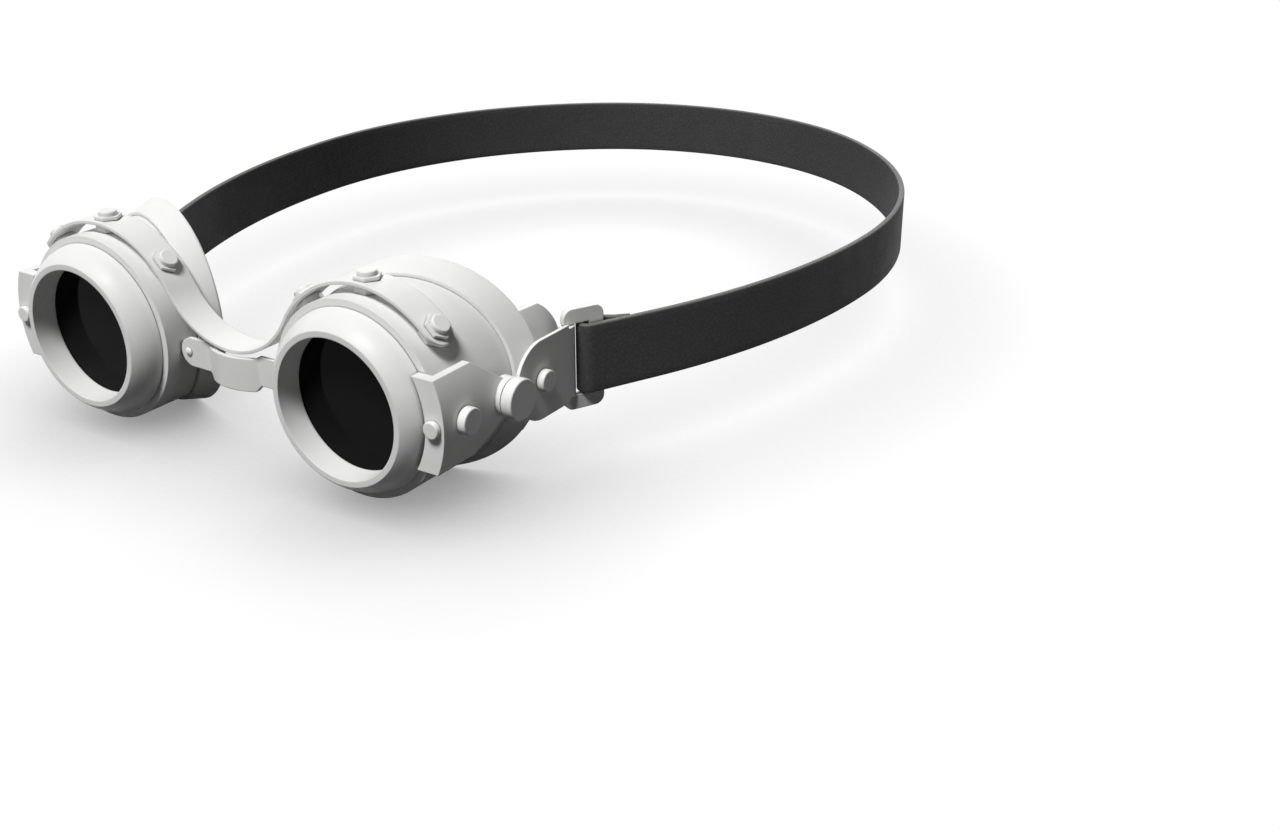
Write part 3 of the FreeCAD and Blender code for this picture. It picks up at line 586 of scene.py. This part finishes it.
def sweep(path, outline):
    """Vertices and faces of an outline swept along a flat path."""
    points = []
    count = len(path)
    for k, place in enumerate(path):
        ahead = (path[min(k + 1, count - 1)] - path[max(k - 1, 0)]).normalized()
        across = Vector((ahead.y, -ahead.x, 0)) * pared_share(min(k, count - 1 - k))
        for a, z in outline:
            points.append(place + across * a + Vector((0, 0, z)))
    ring = len(outline)
    faces = []
    for k in range(count - 1):
        for j in range(ring):
            n = (j + 1) % ring
            faces.append((k * ring + j, k * ring + n, (k + 1) * ring + n, (k + 1) * ring + j))
    faces.append(tuple(reversed(range(ring))))
    faces.append(tuple((count - 1) * ring + j for j in range(ring)))
    return points, faces


points, faces = sweep(strap_path, strap_outline())
strap_mesh = bpy.data.meshes.new("leather_strap")
strap_mesh.from_pydata(points, [], faces)
strap_mesh.validate()
strap_mesh.shade_smooth()
strap = bpy.data.objects.new("leather_strap", strap_mesh)
bpy.context.scene.collection.objects.link(strap)
strap.data.materials.append(LEATHER)
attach(strap, "headband")
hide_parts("strap")
print("strap mesh:", len(strap_mesh.vertices), "points")

# %% [markdown]
# ## Floor
#
# The picture has a plain white ground without a horizon, and the strap can swing down past the level
# that the eyecups rest on. A painted floor would show an edge in low views and swallow the strap. So
# the floor is a clear sheet to the camera, with white behind it, and keeps only the soft shadow of what
# stands close above it, which ambient occlusion finds. To a reflection it is pale, and to light that
# bounces it is a dull grey, so that the undersides stay as dark as they are in the picture.

# %% Lay the floor
FLOOR_GAP = 0.15 * MM
FLOOR_HALF = 6.0
FLOOR_PALE = 0.96
FLOOR_BOUNCE = 0.04
SHADOW_REACH = 42 * MM
SHADOW_TONE = 0.20
SHADOW_SAMPLES = 16


def floor_finish():
    """Pale in reflections, dull to bounced light, and clear but for the shadow to the camera."""
    finish = Finish("pale_floor")
    mirrored = finish.ray_is("Glossy", "Transmission")
    finish.give(Base_Color=finish.mix(mirrored, grey(FLOOR_BOUNCE), grey(FLOOR_PALE)))
    finish.give(Roughness=0.9, Specular_IOR_Level=0.0)
    near = finish.add("ShaderNodeAmbientOcclusion", {"samples": SHADOW_SAMPLES}, Distance=SHADOW_REACH)
    shade = finish.mix(near.outputs["AO"], grey(SHADOW_TONE), grey(1.0))
    clear = finish.add("ShaderNodeBsdfTransparent", Color=shade)
    sheet = finish.add("ShaderNodeMixShader")
    parts = (finish.ray_is("Camera", "Shadow"), finish.shader.outputs["BSDF"], clear.outputs["BSDF"])
    for socket, given in zip(sheet.inputs, parts):
        finish.fill(socket, given)
    finish.show(sheet.outputs["Shader"])
    return finish.material


floor_z = CAD_BOX[0].z - FLOOR_GAP
corners = [(x * FLOOR_HALF, y * FLOOR_HALF, floor_z) for x, y in ((-1, -1), (1, -1), (1, 1), (-1, 1))]
floor_mesh = bpy.data.meshes.new("floor")
floor_mesh.from_pydata(corners, [], [(0, 1, 2, 3)])
floor_mesh.materials.append(floor_finish())
floor = bpy.data.objects.new("floor", floor_mesh)
bpy.context.scene.collection.objects.link(floor)
print("floor at %.2f mm" % (floor_z / MM))

# %% [markdown]
# ## Lamps
#
# In the picture the tops are white, the fronts are grey and the sides that face right are dark, so one
# broad light stands above and a little to the front. A large softbox would do, but it falls off with
# distance; a sun with a wide disc gives the same soft shade evenly. A weak softbox behind keeps the
# back readable.

# %% Hang the lamps
KEY_FROM = (0.0, -0.56, 1.0)
KEY_POWER = 3.45
KEY_DISC = math.radians(18)
REAR_FROM = (-0.35, 1.0, 0.30)
REAR_POWER = 4.0
REAR_AWAY = 1.1
REAR_SIZE = 0.8


def hang(lamp, direction, distance=1.0):
    """Puts a lamp in a direction from the eyecups and turns it towards them."""
    made = bpy.data.objects.new(lamp.name, lamp)
    towards = Vector(direction).normalized()
    made.location = towards * distance
    made.rotation_mode = "QUATERNION"
    made.rotation_quaternion = towards.to_track_quat("Z", "Y")
    bpy.context.scene.collection.objects.link(made)


key_light = bpy.data.lights.new("key_light", "SUN")
key_light.energy = KEY_POWER
key_light.angle = KEY_DISC
hang(key_light, KEY_FROM)

rear_softbox = bpy.data.lights.new("rear_softbox", "AREA")
rear_softbox.energy = REAR_POWER
rear_softbox.shape = "DISK"
rear_softbox.size = REAR_SIZE
hang(rear_softbox, REAR_FROM, REAR_AWAY)
print("lamps:", key_light.name, rear_softbox.name)

# %% [markdown]
# ## The white around it
#
# The white of the picture is the world, seen past the clear floor. If a world as bright as that also
# lit the goggles, every shade on them would wash out. So the world is white only where the camera or a
# reflection looks at it, and adds very little light.

# %% Fill the world
WORLD_SEEN = 1.0
WORLD_LIGHT = 0.03

world = bpy.data.worlds.new("studio")
world.use_nodes = True
sky = Nodes(world.node_tree)
background = world.node_tree.nodes["Background"]
seen = sky.ray_is("Camera", "Glossy", "Transmission")
sky.fill(background.inputs["Color"], grey(1.0))
sky.fill(background.inputs["Strength"], sky.ramp(seen, 0.0, 1.0, WORLD_LIGHT, WORLD_SEEN))
bpy.context.scene.world = world
bpy.context.scene.view_settings.view_transform = "Standard"
print("world lights at", WORLD_LIGHT, "and shows at", WORLD_SEEN)
